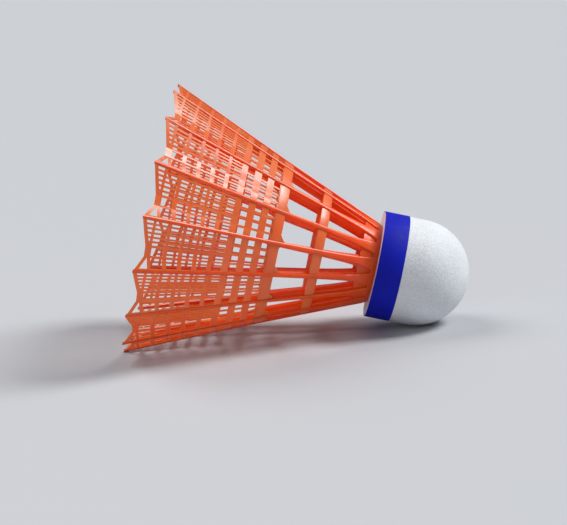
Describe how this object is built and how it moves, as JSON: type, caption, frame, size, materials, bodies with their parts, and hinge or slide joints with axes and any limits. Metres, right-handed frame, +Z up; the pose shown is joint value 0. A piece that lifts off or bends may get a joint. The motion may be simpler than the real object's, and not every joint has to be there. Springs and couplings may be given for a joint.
{
  "type": "badminton shuttlecock",
  "caption": "Shuttlecock with a moulded net skirt of ribs, hoops and pleated windows on a white covered cork base with a coloured band, lying on its side.",
  "frame": {"origin": "centre of the bounding box at ground level, with the shuttle lying on its dome and two neighbouring stem tips", "axes": "+Z up from the ground, +X towards the nose in plan, Y across; the shuttle's own axis lies in the XZ plane, tilted 16.3 degrees with the rim end higher"},
  "size_m": [0.0858, 0.0658, 0.0631],
  "materials": {
    "nylon": "translucent moulded nylon",
    "cover": "fine grained synthetic leather",
    "band": "satin tape",
    "cork": "agglomerated cork",
    "glue": "dried adhesive"
  },
  "bodies": {
    "root": {"skirt_spigot": "nylon", "skirt_collar": "nylon", "skirt_collar_webs": "nylon", "skirt_lower_stems": "nylon", "skirt_upper_stems": "nylon", "skirt_tail_hoop": "nylon", "skirt_throat_hoop": "nylon", "skirt_throat_gussets": "nylon", "coarse_net_wide_panels": "nylon", "coarse_net_middle_panels": "nylon", "coarse_net_side_panels": "nylon", "fine_net_slit_panels": "nylon", "fine_net_fold_panels": "nylon", "fine_net_return_panels": "nylon", "cover_skin": "cover", "facing_ring": "cover", "band_tape": "band", "cork_nose": "cork", "cork_disc": "cork", "cork_joint_glue": "glue", "bore_glue": "glue"}
  },
  "joints": []
}
